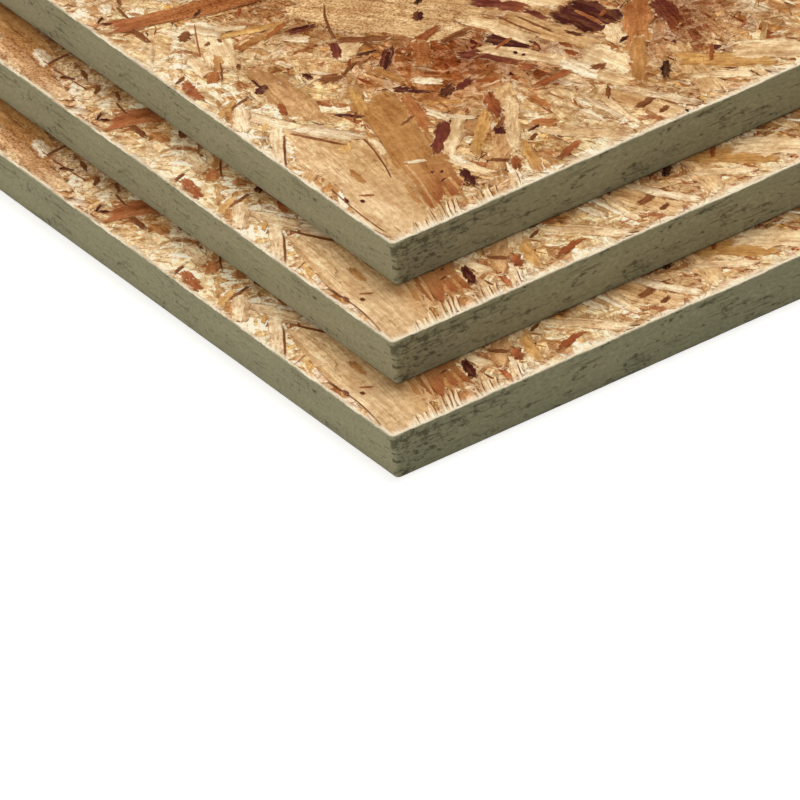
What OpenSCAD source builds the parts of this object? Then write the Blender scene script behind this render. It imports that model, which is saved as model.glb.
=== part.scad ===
// Stack of oriented strand board sheets lying flat, each upper sheet slid back from the one below it.
// Millimetres, +Z up. X runs along the length of the sheets, which is the main direction of their strands.
// The origin is under the middle of the whole stack, on the floor that it lies on.
// The sheets keep one corner in view, at +X and -Y, where each lower sheet shows as a stepped ledge.

/* [Sheet] */
// Length of one sheet, along the main direction of its face strands
sheet_l = 2440; // [1200:10:3660]
// Width of one sheet
sheet_w = 1220; // [600:10:1830]
// Thickness of one sheet
sheet_t = 18.3; // [6:0.1:38]

/* [Edges] */
// Radius of the upright corners, knocked round in handling
corner_r = 2; // [1.5:0.1:12]
// Radius of the eased arrises, where the faces turn into the sawn edges
arris_r = 0.5; // [0.2:0.1:1.4]

/* [Slide of the sheets] */
// How far the middle sheet lies back from the end of the bottom sheet
middle_back_end = 30; // [0:1:300]
// How far the middle sheet lies back from the long side of the bottom sheet
middle_back_side = 22; // [0:1:300]
// How far the top sheet lies back from the end of the middle sheet
top_back_end = 33; // [0:1:300]
// How far the top sheet lies back from the long side of the middle sheet
top_back_side = 24; // [0:1:300]

/* [Hidden] */
$fn = 48;

// The whole slide of the top sheet, which sets how far the bottom one lies off the origin
slide_end = middle_back_end + top_back_end;
slide_side = middle_back_side + top_back_side;

// Centre of each sheet's underside, from the bottom sheet upwards
bottom_at = [slide_end / 2, -slide_side / 2, 0];
middle_at = bottom_at + [-middle_back_end, middle_back_side, sheet_t];
top_at = middle_at + [-top_back_end, top_back_side, sheet_t];

// Wood as the faces show it, one tone for each sheet
bottom_tone = [0.72, 0.53, 0.33];
middle_tone = [0.76, 0.57, 0.36];
top_tone = [0.80, 0.61, 0.40];

// Section of a sheet across a width, standing on the X axis, with its four arrises eased
module sheet_section(width) {
    translate([-width / 2, arris_r]) square([width, sheet_t - 2 * arris_r]);
    translate([-width / 2 + arris_r, 0]) square([width - 2 * arris_r, sheet_t]);
    for (side = [-1, 1], level = [arris_r, sheet_t - arris_r])
        translate([side * (width / 2 - arris_r), level]) circle(r = arris_r);
}

// The same eased edge from the axis of a corner outwards, for turning round that corner
module corner_section() {
    intersection() {
        sheet_section(2 * corner_r);
        square([corner_r, sheet_t]);
    }
}

// A length of the section, lying along X and as wide as the sheet
module run_along_length() {
    rotate([90, 0, 90]) linear_extrude(sheet_l - 2 * corner_r, center = true) sheet_section(sheet_w);
}

// A length of the section, lying along Y and as long as the sheet
module run_along_width() {
    rotate([90, 0, 0]) linear_extrude(sheet_w - 2 * corner_r, center = true) sheet_section(sheet_l);
}

// One upright corner, the eased edge turned round it
module corner_post() {
    rotate_extrude() corner_section();
}

// One whole sheet, centred on its underside, with the eased edge running on round every corner
module sheet() {
    union() {
        run_along_length();
        run_along_width();
        for (x_side = [-1, 1], y_side = [-1, 1])
            translate([x_side * (sheet_l / 2 - corner_r), y_side * (sheet_w / 2 - corner_r), 0])
                corner_post();
    }
}

module bottom_panel() {
    color(bottom_tone) translate(bottom_at) sheet();
}

module middle_panel() {
    color(middle_tone) translate(middle_at) sheet();
}

module top_panel() {
    color(top_tone) translate(top_at) sheet();
}

bottom_panel();
middle_panel();
top_panel();
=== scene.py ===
import math

import bmesh
import bpy
import numpy as np
from mathutils import Matrix, Vector, noise


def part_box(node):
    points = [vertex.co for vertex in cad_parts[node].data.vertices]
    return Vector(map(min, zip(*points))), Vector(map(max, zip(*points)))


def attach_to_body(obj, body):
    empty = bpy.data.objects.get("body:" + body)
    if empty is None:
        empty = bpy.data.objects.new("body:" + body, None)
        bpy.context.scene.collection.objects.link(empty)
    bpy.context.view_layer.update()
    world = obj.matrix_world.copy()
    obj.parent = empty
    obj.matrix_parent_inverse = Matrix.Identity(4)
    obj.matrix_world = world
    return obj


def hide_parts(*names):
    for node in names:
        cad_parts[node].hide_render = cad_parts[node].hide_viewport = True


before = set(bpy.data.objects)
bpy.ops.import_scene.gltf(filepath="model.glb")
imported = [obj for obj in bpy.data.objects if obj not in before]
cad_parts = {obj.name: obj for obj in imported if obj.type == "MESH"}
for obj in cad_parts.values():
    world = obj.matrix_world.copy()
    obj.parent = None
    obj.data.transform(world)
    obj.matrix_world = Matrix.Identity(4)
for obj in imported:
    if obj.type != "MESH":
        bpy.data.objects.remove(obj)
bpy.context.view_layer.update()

# Lengths below are in millimetres, and MM turns them into the scene's metres
MM = 0.001
SEED = 20
BODY = "root"
PANELS = ("bottom_panel", "middle_panel", "top_panel")

# Camera: a long lens that looks down on the near corner of the stack
PHOTO_PX = 800
FOCAL_PX = 20000
SENSOR_MM = 36
CAMERA_AZIMUTH = 60.8
CAMERA_ELEVATION = 31.77
CAMERA_ROLL = -7.52
CAMERA_DISTANCE = 7487
AIM_RIGHT = 1.0
AIM_UP = 29.6
CAMERA_REACH_M = 1000

# Wood tones as they show on the faces, in display values from 0 to 255
TONES = {
    "white": (246, 230, 196),
    "cream": (240, 214, 169),
    "pale": (225, 190, 139),
    "tan": (206, 164, 114),
    "gold": (214, 170, 104),
    "amber": (191, 142, 86),
    "orange": (181, 119, 70),
    "rust": (158, 92, 54),
    "maroon": (114, 57, 45),
    "brown": (128, 80, 48),
    "umber": (79, 37, 32),
    "black": (48, 28, 22),
}
# How often each tone turns up among the loose strands and among the small chips
STRAND_MIX = {"white": 6, "cream": 26, "pale": 26, "tan": 20, "gold": 8, "amber": 10, "orange": 4}
FIELD_MIX = {**STRAND_MIX, "orange": 5, "rust": 5, "maroon": 2}
LITTER_MIX = {**STRAND_MIX, "orange": 1}
CHIP_MIX = {
    "white": 12, "cream": 26, "pale": 14, "gold": 8, "amber": 10, "orange": 10, "rust": 10, "brown": 10,
}

# How far the close-up detail reaches from the near corner
CORNER_REACH = 330

# Mends the places below, which were read in a view a little too wide across and too short along the sheet
READ_SCALE = np.array([0.968, 1.011])

# Broad strands that lie under the litter at the near corner: place across from the near side, place from
# the near end, length, width, lean from the sheet's length, tone, and tone at the near end if it differs
CORNER_GROUND = [
    (7, 96, 46, 15, 10, "cream"),
    (5, 150, 66, 13, 3, "cream"),
    (13, 178, 60, 22, -12, "pale"),
    (19, 240, 46, 13, 3, "tan"),
    (56, 142, 40, 22, 60, "amber"),
    (52, 122, 50, 18, 30, "pale"),
    (84, 92, 60, 30, 10, "amber", "tan"),
    (98, 84, 56, 16, 4, "amber"),
    (62, 176, 46, 26, 20, "tan"),
    (104, 28, 62, 24, 6, "pale"),
    (92, 62, 34, 12, -12, "pale"),
    (128, 24, 58, 22, -8, "pale"),
    (172, 48, 50, 26, 28, "pale"),
    (188, 48, 44, 12, 4, "tan"),
    (176, 14, 50, 16, -40, "pale"),
    (108, 84, 40, 12, 2, "maroon"),
    (124, 86, 30, 10, -24, "maroon"),
    (133, 73, 14, 7, -10, "rust"),
]
# Strands that stand out on top of the litter, from the lowest to the highest, in the same form
CORNER_STRANDS = [
    (19, 290, 56, 15, 4, "amber"),
    (7, 262, 58, 8, 5, "tan", "pale"),
    (31, 119, 44, 14, 8, "tan", "pale"),
    (90, 145, 74, 24, -33, "pale"),
    (114, 138, 46, 14, -33, "pale"),
    (31, 168, 36, 13, 20, "cream"),
    (18, 44, 100, 27, 6, "pale"),
    (152.5, 87, 27, 19, -14, "umber"),
    (118, 92, 22, 9, -26, "umber"),
    (136.4, 102, 13, 6.5, -14, "maroon"),
    (131.5, 118, 24, 9, -30, "maroon", "rust"),
    (145, 113, 30, 12, -30, "cream"),
    (164, 70, 40, 12, 34, "orange", "amber"),
    (149, 47, 34, 7, 33, "amber"),
    (177, 68, 26, 9, 10, "maroon", "rust"),
    (153, 69, 15, 8, 24, "cream"),
    (120.5, 104, 38, 8, -17, "cream"),
    (135.4, 87, 44, 10.5, -17, "pale"),
    (139, 55, 24, 15, -10, "cream"),
    (162, 26, 42, 11, 12, "pale"),
    (131, 20, 36, 10, -22, "pale"),
    (174, 24, 38, 10, -46, "gold"),
    (166, 16, 26, 5, -50, "cream"),
    (192, 18, 30, 14, -46, "cream"),
    (34, 40, 62, 8, 10, "tan", "pale"),
    (46, 54, 86, 20, 12, "amber", "rust"),
    (27, 25, 17, 2.2, 14, "amber"),
    (31, 19, 20, 1.2, 12, "tan"),
    (37, 15, 14, 1.6, 15, "amber"),
    (42.5, 17, 18, 1.3, 13, "amber"),
    (33, 27, 36, 1.0, 15, "tan"),
    (50, 97, 22, 5, 20, "gold"),
    (62, 74, 30, 6, 14, "orange"),
    (59, 52, 25, 7, 38, "maroon"),
    (63, 49, 28, 6, 43, "cream"),
    (70, 28, 30, 9, 40, "tan"),
    (72, 44, 32, 5.5, 42, "gold"),
    (77, 18, 26, 5, 16, "gold", "tan"),
    (95, 60, 16, 9, 22, "pale"),
    (85, 41, 38, 6.5, 31, "cream"),
    (87.5, 58, 19, 5.5, 14, "rust", "maroon"),
    (94.5, 34, 10, 6, -38, "orange"),
    (102, 47.5, 12, 4, -8, "orange"),
    (115.5, 58.3, 18, 4.2, 88, "rust"),
    (91, 11, 13, 4, 70, "rust"),
    (133, 19, 10, 4, 74, "brown"),
    (104, 93, 17, 7, -52, "maroon"),
    (112, 75, 16, 5, -22, "rust", "maroon"),
    (109, 84, 20, 7, -24, "maroon", "rust"),
    (118, 79, 40, 7.5, -31, "cream"),
    (129, 54, 26, 8, -14, "white", "cream"),
    (134, 42, 16, 9, -18, "cream"),
    (140, 19, 34, 5, -27, "white", "cream"),
    (122, 22, 26, 4, 4, "cream"),
    (118, 27, 24, 3, -8, "white"),
    (105, 14, 28, 7, -36, "cream"),
    (97, 22, 22, 5, -42, "cream"),
    (112, 26, 12, 4, -10, "white"),
    (55, 27, 22, 5, -14, "cream"),
    (54.5, 34, 8, 4, 4, "white"),
    (27, 85, 29, 8, -27, "white", "cream"),
    (36.5, 63, 14, 3, 10, "cream"),
    (9, 92, 30, 6, 30, "cream"),
    (15, 108, 30, 6, -24, "cream"),
    (8, 116, 18, 7, 32, "cream"),
    (8, 126, 13, 3.5, 60, "gold"),
    (5, 120, 9, 3, 30, "amber"),
    (17, 160, 17, 6, 10, "cream"),
    (48, 168, 27, 4.5, -70, "gold"),
    (47, 160.5, 25, 4.5, 84, "amber", "orange"),
    (55, 161.5, 14, 3, 70, "orange"),
    (15, 267, 13, 6, 8, "white"),
    (34, 181, 16, 9, -30, "white"),
    (42, 175, 12, 4, -50, "white"),
    (47, 194, 82, 12, 108, "orange", "rust"),
    (67, 130, 15, 9, 62, "cream"),
    (64, 133, 14, 4, 24, "maroon"),
    (76, 133, 22, 4.5, -50, "brown"),
    (94, 117, 22, 5, 72, "rust"),
    (88, 108, 20, 8, 30, "orange"),
    (104, 110, 13, 4, 84, "brown"),
    (75, 114, 20, 5, 42, "maroon"),
    (69, 104, 18, 5, -12, "amber"),
    (57, 151, 12, 5.5, -38, "white"),
    (63, 155, 12, 4.5, -74, "maroon"),
    (78, 90, 12, 5, -40, "white"),
    (67, 66, 12, 4, -14, "white"),
    (73, 59, 12, 3, -40, "white"),
    (116, 92.5, 10, 1.8, 74, "rust"),
    (152.2, 85, 17, 1.8, -7, "rust"),
    (5, 147, 14, 5, 10, "rust"),
    (17, 149, 9, 5, 40, "orange"),
    (24, 156, 12, 4, 34, "amber"),
    (51, 117, 9, 7, -36, "brown"),
    (65, 10.5, 14, 4.5, 24, "white"),
    (70, 17, 9, 4, 20, "rust", "maroon"),
    (43, 138, 8, 3, -16, "white"),
    (50, 123, 8, 2.5, -30, "white"),
    (26.5, 71, 7, 5, 20, "gold"),
]
# Slits, spots and bright chips at the near corner, in the same form. The thin dark slits stand for cracks
# and streaks; in the cracks their dark is painted shade
CORNER_MARKS = [
    (7, 84, 24, 1.0, 31, "brown"),
    (22, 83, 24, 1.4, -27, "brown"),
    (32, 56, 32, 0.7, 14, "brown"),
    (4, 30, 40, 0.5, 3, "brown"),
    (18, 50, 11, 3, 6, "amber"),
    (5, 38.5, 4, 1.6, 8, "umber"),
    (9.5, 34, 2.4, 1.6, 0, "umber"),
    (13, 36.5, 5, 1.2, -50, "rust"),
    (41.5, 33, 1.8, 1.2, 20, "umber"),
    (44.7, 31, 1.9, 1.1, 40, "umber"),
    (41.5, 25.6, 2.6, 1.0, 80, "umber"),
    (41, 44, 8, 2.4, -62, "white"),
    (41, 89, 12, 2, -36, "umber"),
    (42, 87, 7, 1.2, 40, "brown"),
    (56, 71, 7, 1.8, 66, "brown"),
    (50, 20.5, 13, 4, 14, "umber"),
    (78.5, 40.5, 6, 4.2, 20, "umber"),
    (82, 45, 8, 2, 50, "brown"),
    (67, 91, 7, 4, -40, "umber"),
    (71, 86, 10, 2, -40, "umber"),
    (80, 78.5, 8, 5.5, 70, "umber"),
    (87, 78, 8, 4, 80, "maroon"),
    (66, 23, 8, 2.6, -44, "brown"),
    (86, 28, 5, 2, 60, "brown"),
    (89.5, 33, 5, 1.6, 80, "umber"),
    (115.5, 83.5, 2.4, 1.7, 30, "black"),
    (117, 80, 1.8, 1.4, 30, "umber"),
    (134, 53, 6, 4, -60, "brown"),
    (152, 33, 12, 4, 38, "black"),
    (173, 32, 12, 2, 34, "rust"),
    (126, 35, 8, 2, 38, "brown"),
    (133.3, 96, 20, 1.1, -11, "brown"),
    (158, 84.5, 4, 2.2, 60, "rust"),
    (141, 79.5, 7, 2.2, -28, "umber"),
    (128, 99, 22, 0.9, -12, "brown"),
    (153, 63, 4, 2.4, 60, "umber"),
    (26, 128.5, 6.5, 4.2, 60, "umber"),
    (26.8, 132, 10, 0.9, 4, "umber"),
    (25.5, 182, 6.5, 4.4, 35, "brown"),
    (27.5, 176, 24, 0.7, 27, "rust"),
    (12.8, 195, 12, 2.6, 3, "brown"),
    (39, 193, 5, 2, 66, "black"),
    (7.5, 215, 4, 1.4, 60, "umber"),
    (17, 213, 11, 1.0, 8, "brown"),
    (73.5, 152, 29, 1.2, 23, "brown"),
    (63, 156, 8, 2.6, -70, "umber"),
    (75, 113, 15, 2.4, 42, "umber"),
    (102.5, 132, 6.5, 4, 36, "umber"),
    (109, 141, 4.5, 2.6, 70, "black"),
    (45, 124.5, 5.5, 2.6, 0, "umber"),
    (72, 123, 6.5, 1.8, -74, "black"),
    (135, 10, 5, 2.6, 70, "brown"),
    (21.5, 150, 14, 0.9, 30, "brown"),
    (6, 156, 5, 1.6, 70, "brown"),
    (29, 149, 3, 1.8, 40, "brown"),
    (29, 171, 3, 1.8, 70, "brown"),
    (34, 170, 3, 1.4, 10, "brown"),
    (24, 111, 8, 3, 20, "rust"),
    (11, 104, 6, 2, 40, "gold"),
    (14, 126, 10, 1.4, 74, "brown"),
    (60, 118, 10, 1.6, 60, "brown"),
    (4.5, 143, 9, 4, 8, "rust"),
    (14, 250, 30, 0.6, -2, "rust"),
    (19.5, 261.5, 11, 1.5, 86, "brown"),
    (20, 244, 7, 2.0, 10, "brown"),
    (18, 232, 6, 2, 40, "brown"),
    (14, 247, 6, 1.6, -30, "umber"),
    (21, 222, 7, 1.6, 20, "brown"),
    (7.5, 211, 4.5, 1.5, -40, "umber"),
]
# Clean patches near the corner, where no chips lie: place across, place from the end and reach
CLEAN_PATCHES = [(15, 40, 34), (34, 112, 16), (112, 92, 12), (130, 90, 12), (146, 89, 13), (88, 146, 16)]
# Places near the corner where the strands are smooth, in the same form
SMOOTH = [(16, 36, 26), (14, 12, 20), (50, 60, 20), (38, 34, 16)]
# Places near the corner that are thick with fine specks, in the same form
SPECKLED = [
    (96, 142, 22), (78, 158, 20), (64, 176, 14), (112, 124, 12), (92, 104, 14), (178, 46, 16),
    (180, 68, 14), (8, 250, 18), (12, 282, 18), (34, 198, 10), (52, 193, 12),
]
# Stains over the near corner, in the same form, and what each multiplies red, green and blue by
STAINS = [
    (6, 120, 60, (1.17, 1.32, 1.42)),
    (10, 205, 30, (1.12, 1.20, 1.22)),
    (20, 92, 22, (1.18, 1.32, 1.42)),
    (10, 143, 18, (1.12, 1.20, 1.26)),
    (86, 94, 28, (0.80, 0.52, 0.39)),
    (58, 132, 22, (0.88, 0.76, 0.66)),
    (115, 89, 20, (0.54, 0.36, 0.32)),
    (168, 52, 18, (0.88, 0.79, 0.79)),
    (184, 70, 24, (0.66, 0.54, 0.54)),
    (112, 10, 34, (1.08, 1.18, 1.26)),
    (90, 16, 21, (1.27, 1.52, 1.72)),
    (190, 16, 22, (1.25, 1.45, 1.60)),
    (66, 174, 20, (0.70, 0.55, 0.46)),
    (98, 111, 20, (0.71, 0.54, 0.44)),
]


def rgba(shown):
    """A colour given in display values from 0 to 255, as the linear colour of a shader socket."""
    parts = np.array(shown) / 255
    return (*np.where(parts <= 0.04045, parts / 12.92, ((parts + 0.055) / 1.055) ** 2.4), 1.0)


def linear(tone):
    """A named tone as linear red, green and blue."""
    return np.array(rgba(TONES[tone])[:3])


def nearness(patch, t, s):
    """How near places on a face are to the middle of a round patch, from 0 to 1."""
    patch_t, patch_s, reach = patch
    t, s = t / READ_SCALE[0], s / READ_SCALE[1]
    return np.exp(-((t - patch_t) ** 2 + (s - patch_s) ** 2) / reach**2)


def stained(t, s):
    """What the stains multiply a tone by, at places on a face."""
    tint = np.ones(t.shape + (3,))
    for *patch, colour in STAINS:
        tint *= 1 + (np.array(colour) - 1) * nearness(patch, t, s)[..., None]
    return tint


def within(patches, t, s):
    """How far places on a face lie within round patches, from 0 to 1."""
    return np.minimum(np.sum([nearness(patch, t, s) for patch in patches], 0), 1.0)


# Scene objects


def placed(name, data):
    """A new object in the scene that shows a mesh, lamp or camera."""
    made = bpy.data.objects.new(name, data)
    bpy.context.scene.collection.objects.link(made)
    return made


def loop_vertices(mesh):
    """The vertex at each corner of each face of a mesh."""
    vertices = np.zeros(len(mesh.loops), np.int32)
    mesh.loops.foreach_get("vertex_index", vertices)
    return vertices


def attach(mesh, maps, colours, numbers):
    """Gives a mesh its maps, with a place for each face corner, and colours and numbers for each vertex."""
    for name, places in maps.items():
        uv = mesh.uv_layers.new(name=name)
        uv.data.foreach_set("uv", places.astype(np.float32).ravel())
    for name, colour in colours.items():
        tint = mesh.attributes.new(name, "FLOAT_COLOR", "POINT")
        opaque = np.concatenate([colour, np.ones((len(colour), 1))], 1)
        tint.data.foreach_set("color", opaque.astype(np.float32).ravel())
    for name, values in numbers.items():
        number = mesh.attributes.new(name, "FLOAT", "POINT")
        number.data.foreach_set("value", values.astype(np.float32).ravel())


class Face:
    """One face of a sheet. Places on it are s from the near end and t from the near side, in mm."""

    def __init__(self, node, up):
        low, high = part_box(node)
        self.end_x = high.x
        self.side_y = low.y
        self.level = high.z if up else low.z
        self.up = up
        self.length = (high.x - low.x) / MM
        self.width = (high.y - low.y) / MM

    def place(self, s, t, sunk):
        """Scene positions of points that lie sunk below the face."""
        down = -1 if self.up else 1
        return np.stack([self.end_x - s * MM, self.side_y + t * MM, self.level + down * sunk * MM], -1)


# Strands

# The wall under each strand's outline: how deep it goes and how far out it leans
SKIRT = 0.5
SKIRT_OUT = 0.04
# How far in from its sides and ends a strand frays, and the most that this may be of half its size
SIDE_FRAY = 1.5
END_FRAY = 4.0
FRAY_SHARE = 0.4
# Form of the strands: tilt in depth, slant and wander of the ends, bow, and what keeps the bow in place
TILT = 0.015
SLANT = 0.3
END_WANDER = 0.25
BOW = 0.025
BOW_LEVEL = 0.4
# Height and number of the slow and the quick waves along a strand's sides, and their other unevenness
SIDE_WAVES = ((0.09, 2.2), (0.05, 5.3))
UNEVEN = 0.03
# How far a strand's tone drifts along it and across it, how dark the painted shade along its outline
# may be, and how much less of that there is away from one side, where the shade falls
DRIFT = (0.07, 0.05)
DARKEST_OUTLINE_SHADE = 0.85
LESS_OUTLINE_SHADE = 0.2
# How far the grain is moved at random from strand to strand
GRAIN_SPREAD = 400
# Strands get plainer past this share of the corner's reach. By how much, there and in the smooth places
PLAIN_FROM = 0.75
PLAINER = 0.6
SMOOTHER = 0.9
# Room round each strand in the bake map: within its rectangle, between rectangles, and added to its size.
# All shrink by the last value until they fit
ATLAS_MARGIN = 0.06
ATLAS_GAP = 0.0012
ATLAS_EXTRA = 0.6
ATLAS_SHRINK = 0.97
# From here to 1 a place is on a strand's border
BORDER = 0.999


def stations(half, count, reach):
    """Places from -1 to 1 over strands: both borders, a line at reach from each, and even steps between."""
    if count < 3:
        return np.repeat(np.linspace(-1, 1, count + 1)[None], len(half), 0)
    inset = np.minimum(reach / half, FRAY_SHARE)[:, None]
    inner = np.linspace(-1, 1, count - 1)[None] * (1 - inset)
    border = np.ones((len(half), 1))
    return np.concatenate([-border, inner, border], 1)


def waves(rng, u):
    """How far each strand's side swells along it: a slow wave, a quick one and a little unevenness."""
    swell = np.zeros_like(u)
    for height, count in SIDE_WAVES:
        swell += height * np.sin(count * math.pi * u + rng.uniform(0, 2 * math.pi, (len(u), 1)))
    return (swell + rng.normal(0, UNEVEN, u.shape))[:, :, None]


def perimeter(rows, cols):
    """Grid places round the border of a strand, in order."""
    first = [(0, j) for j in range(cols)]
    right = [(i, cols) for i in range(rows)]
    last = [(rows, j) for j in range(cols, 0, -1)]
    left = [(i, 0) for i in range(rows, 0, -1)]
    return np.array(first + right + last + left).T


def shelf_pack(sizes, gap):
    """Lower left corners of rectangles laid on shelves in a unit square, and the scale that fits them."""
    order = np.lexsort((-sizes[:, 0], -sizes[:, 1]))
    scale = ATLAS_SHRINK / math.sqrt((sizes[:, 0] * sizes[:, 1]).sum())
    while True:
        corners = np.zeros_like(sizes)
        x, y, shelf = gap, gap, 0.0
        for k in order:
            w, h = sizes[k] * scale
            if x + w + gap > 1:
                x, y, shelf = gap, y + shelf + gap, 0.0
            corners[k] = x, y
            x += w + gap
            shelf = max(shelf, h)
        if y + shelf + gap <= 1:
            return corners, scale
        scale *= ATLAS_SHRINK


class StrandBatch:
    """Strands of one grid size on one face, worked out together as arrays."""

    def __init__(self, rng, grid, place, size, lean, sunk, tone, foot=None, fuzz=0.9, ragged=0.4,
                 taper=0.35, wavy=1.0, frayed=0.8, outlined=0.24, stains=True, tilt=TILT):
        rows, cols = grid
        n = len(place)

        def each(spread):
            return rng.normal(0, spread, (n, 1, 1))

        self.rows, self.cols, self.count, self.size = rows, cols, n, size
        length, width = size[:, 0][:, None, None], size[:, 1][:, None, None]
        self.u = stations(size[:, 0] / 2, rows, END_FRAY)
        self.v = stations(size[:, 1] / 2, cols, SIDE_FRAY)
        u, v = self.u[:, :, None], self.v[:, None, :]
        near, far = rng.uniform(-ragged, ragged, (2, n, 1, cols + 1))
        end = np.where(u < 0, near, far) * u**4 + each(SLANT) * v
        along = u * length / 2 + end * np.minimum(width, END_WANDER * length)
        narrow = np.where(u < 0, *rng.uniform(taper / 2, taper, (2, n, 1, 1)))
        swell = wavy * np.where(v < 0, waves(rng, self.u), waves(rng, self.u))
        bow = each(BOW) * length * (u * u - BOW_LEVEL)
        across = v * width / 2 * (1 - narrow * u**2) * (1 + swell) + bow
        turn = np.radians(lean)[:, None, None]
        s = place[:, 1][:, None, None] + along * np.cos(turn) - across * np.sin(turn)
        t = place[:, 0][:, None, None] + along * np.sin(turn) + across * np.cos(turn)
        slope = tilt * (each(1) * u + each(1) * v)
        self.points = np.stack([s, t, np.maximum(sunk[:, None, None] + slope, 0.0)], -1)
        offset = rng.uniform(0, GRAIN_SPREAD, (n, 1, 1, 2))
        grain = np.stack([along + 0 * across, across + 0 * along], -1) + offset
        border = (np.abs(u) > BORDER) | (np.abs(v) > BORDER)
        climb = (1 - ((1 - u) / 2) ** 4)[..., None]
        foot = tone if foot is None else foot
        colour = foot[:, None, None] * (1 - climb) + tone[:, None, None] * climb
        drift = 1 + each(DRIFT[0]) * u + each(DRIFT[1]) * v
        away = np.clip(np.hypot(t, s) / (PLAIN_FROM * CORNER_REACH) - 1, 0, 1)
        rough = fuzz * (1 - SMOOTHER * within(SMOOTH, t, s)) * (1 - PLAINER * away)
        # Painted shade along each strand's border: darkest on one side, as if shade fell there, and less
        # elsewhere
        shaded = np.where(v + 0 * u > BORDER, outlined, outlined / 2 - LESS_OUTLINE_SHADE)
        dirt = np.clip(rng.normal(shaded, outlined), 0, DARKEST_OUTLINE_SHADE) * border
        self.values = {
            "grain": grain,
            "tone": colour * drift[..., None],
            "stain": stained(t, s) if stains else np.ones(t.shape + (3,)),
            "dirt": dirt[..., None],
            "fray": (frayed * border)[..., None],
            "speckle": within(SPECKLED, t, s)[..., None],
            "fuzz": rough[..., None],
        }

    def atlas(self, corners, scale, rim):
        """Places in the bake map, with each strand in its own rectangle and its skirt round it."""
        rows, cols, n = self.rows, self.cols, self.count
        inside = 1 - 2 * ATLAS_MARGIN
        unit = np.empty((n, rows + 1, cols + 1, 2))
        unit[..., 0] = ATLAS_MARGIN + inside * (self.u[:, :, None] + 1) / 2
        unit[..., 1] = ATLAS_MARGIN + inside * (self.v[:, None, :] + 1) / 2
        edge = unit[:, rim[0], rim[1]]
        for axis, last in enumerate((rows, cols)):
            edge[:, rim[axis] == 0, axis] = 0
            edge[:, rim[axis] == last, axis] = 1
        units = np.concatenate([unit.reshape(n, -1, 2), edge], 1)
        return corners[:, None] + units * (self.size * scale)[:, None]

    def arrays(self, corners, scale):
        """Vertices as (s, t, sunk), faces, bake map and vertex values, with the skirt round each strand."""
        rows, cols, n = self.rows, self.cols, self.count
        rim = perimeter(rows, cols)
        edge = self.points[:, rim[0], rim[1]]
        edge[..., 2] += SKIRT
        out = edge[..., :2] - self.points.reshape(n, -1, 3).mean(1, keepdims=True)[..., :2]
        edge[..., :2] += SKIRT_OUT * out / np.maximum(np.linalg.norm(out, axis=2, keepdims=True), 1e-6)
        atlas = self.atlas(corners, scale, rim)
        g = np.arange((rows + 1) * (cols + 1)).reshape(rows + 1, cols + 1)
        quads = np.stack([g[:-1, :-1], g[1:, :-1], g[1:, 1:], g[:-1, 1:]], -1).reshape(-1, 4)
        here = g[rim[0], rim[1]]
        there = g.size + np.arange(len(here))
        walls = np.stack([here, np.roll(here, -1), np.roll(there, -1), there], -1)
        first = np.arange(n)[:, None, None] * atlas.shape[1]

        def with_skirt(values, skirt):
            channels = values.shape[-1]
            return np.concatenate([values.reshape(n, -1, channels), skirt], 1).reshape(-1, channels)

        arrays = {
            "points": with_skirt(self.points, edge),
            "faces": (np.concatenate([quads, walls])[None] + first).reshape(-1, 4),
            "atlas": atlas.reshape(-1, 2),
        }
        for key, values in self.values.items():
            skirt = values[:, rim[0], rim[1]]
            # The skirt walls round each strand get the full painted shade
            arrays[key] = with_skirt(values, np.ones_like(skirt) if key == "dirt" else skirt)
        return arrays


def strand_mesh(name, face, batches, material):
    """One piece from several batches of strands, cut off flush at the edges of the sheet."""
    batches = [batch for batch in batches if batch.count]
    sizes = np.concatenate([batch.size for batch in batches]) + ATLAS_EXTRA
    corners, scale = shelf_pack(sizes, ATLAS_GAP)
    parts, at, shift = [], 0, 0
    for batch in batches:
        part = batch.arrays(corners[at:at + batch.count], scale)
        part["faces"] = part["faces"] + shift
        shift += len(part["points"])
        at += batch.count
        parts.append(part)
    whole = {key: np.concatenate([part[key] for part in parts]) for key in parts[0]}
    points = whole["points"]
    faces = whole["faces"] if not face.up else whole["faces"][:, ::-1]
    mesh = bpy.data.meshes.new(name)
    mesh.from_pydata(face.place(points[:, 0], points[:, 1], points[:, 2]), [], faces)
    maps = {"grain": whole["grain"], "sheet": points[:, :2], "OFBake": whole["atlas"]}
    corner_of = loop_vertices(mesh)
    attach(
        mesh,
        {key: places[corner_of] for key, places in maps.items()},
        {key: whole[key] for key in ("tone", "stain")},
        {key: whole[key] for key in ("dirt", "fray", "speckle", "fuzz")},
    )
    trim(mesh, face)
    mesh.materials.append(material)
    return placed(name, mesh)


# The cut along the sheet's edges: how far in, how ragged, and waves in a metre
RIM_INSET = 0.35
RIM_RAGGED = 0.3
RIM_WAVES = 900
# How near in metres counts as the same point, and as on the cut
SAME_POINT = 1e-7
ON_THE_CUT = 1e-6


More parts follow.
